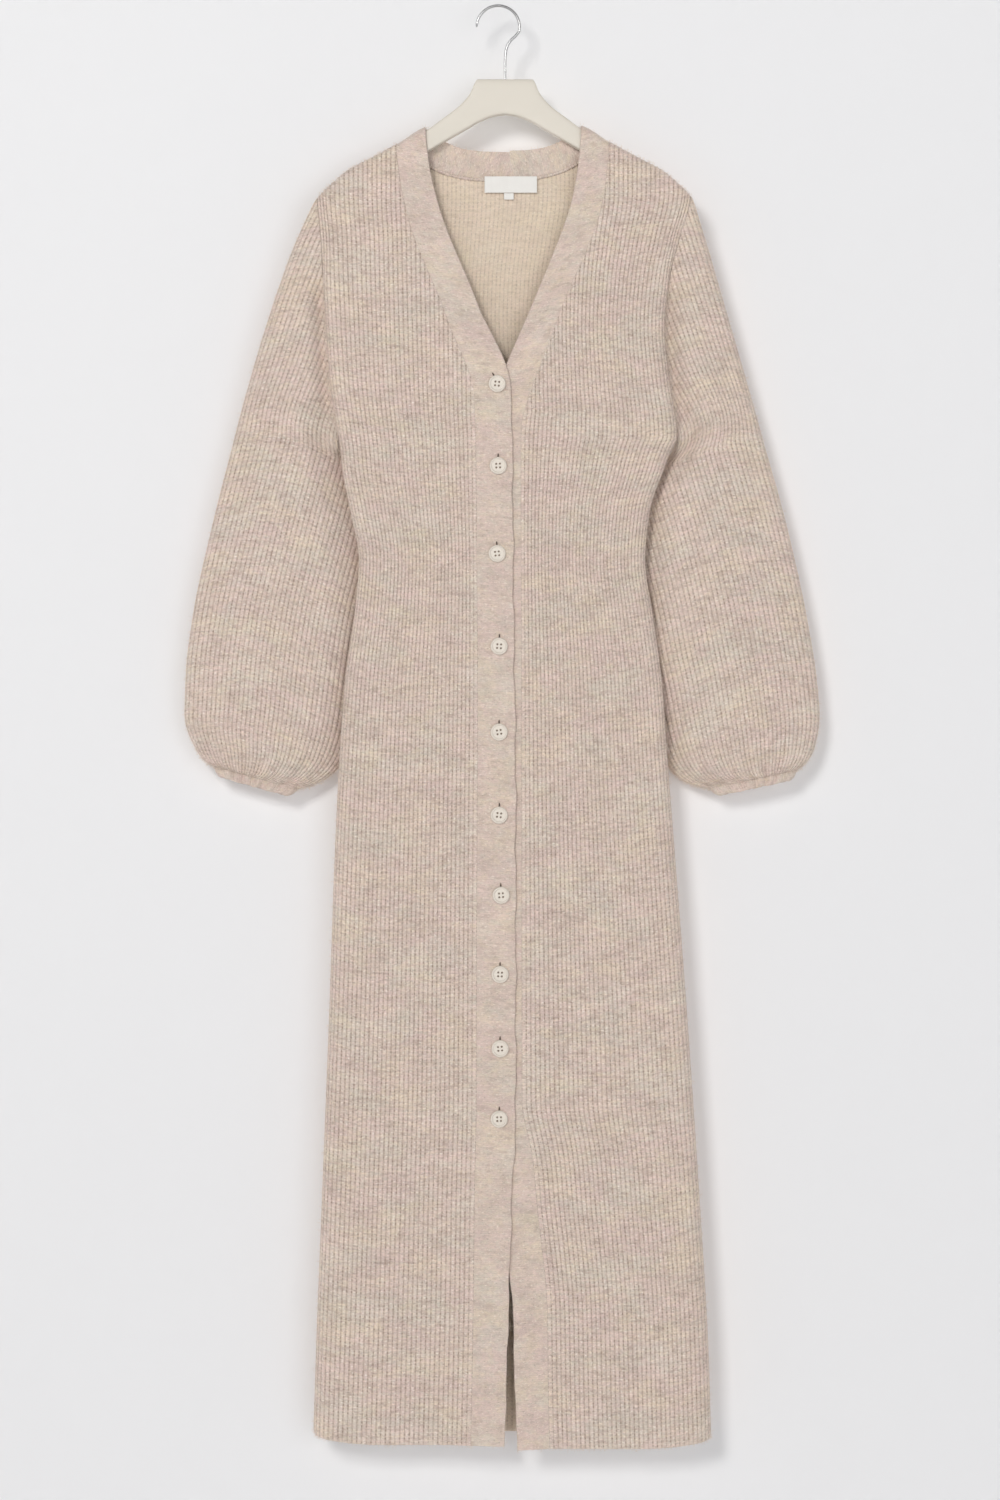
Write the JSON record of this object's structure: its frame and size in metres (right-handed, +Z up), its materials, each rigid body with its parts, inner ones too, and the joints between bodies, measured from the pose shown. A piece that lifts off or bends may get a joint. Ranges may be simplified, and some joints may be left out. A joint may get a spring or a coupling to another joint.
{
  "type": "knit dress on a hanger",
  "caption": "Long ribbed knit dress with a V neck, a buttoned front band and full sleeves gathered into narrow cuffs, hung on a flat hanger with a wire hook.",
  "frame": {"origin": "the seat of the hanger's hook: the inner top of its bend, where it rests on a peg", "axes": "+X to the right seen from the front, -Y the front with the buttons, +Z up"},
  "size_m": [0.6516, 0.0578, 1.4863],
  "materials": {
    "rib_knit": "soft brushed rib knit, heather sand",
    "plain_knit": "soft smooth knit, heather sand",
    "button_resin": "cast resin, low gloss",
    "woven_label": "plain woven white",
    "hanger_finish": "pale satin lacquer",
    "steel_wire": "plain drawn wire"
  },
  "bodies": {
    "root": {"front_right": "rib_knit", "front_left": "rib_knit", "back": "rib_knit", "sleeve_right": "rib_knit", "sleeve_left": "rib_knit", "band_right": "plain_knit", "band_left": "plain_knit", "cuff_right": "plain_knit", "cuff_left": "plain_knit", "button_01": "button_resin", "button_02": "button_resin", "button_03": "button_resin", "button_04": "button_resin", "button_05": "button_resin", "button_06": "button_resin", "button_07": "button_resin", "button_08": "button_resin", "button_09": "button_resin", "button_10": "button_resin", "neck_label": "woven_label", "size_tab": "woven_label", "hanger_body": "hanger_finish", "hook": "steel_wire"}
  },
  "joints": []
}
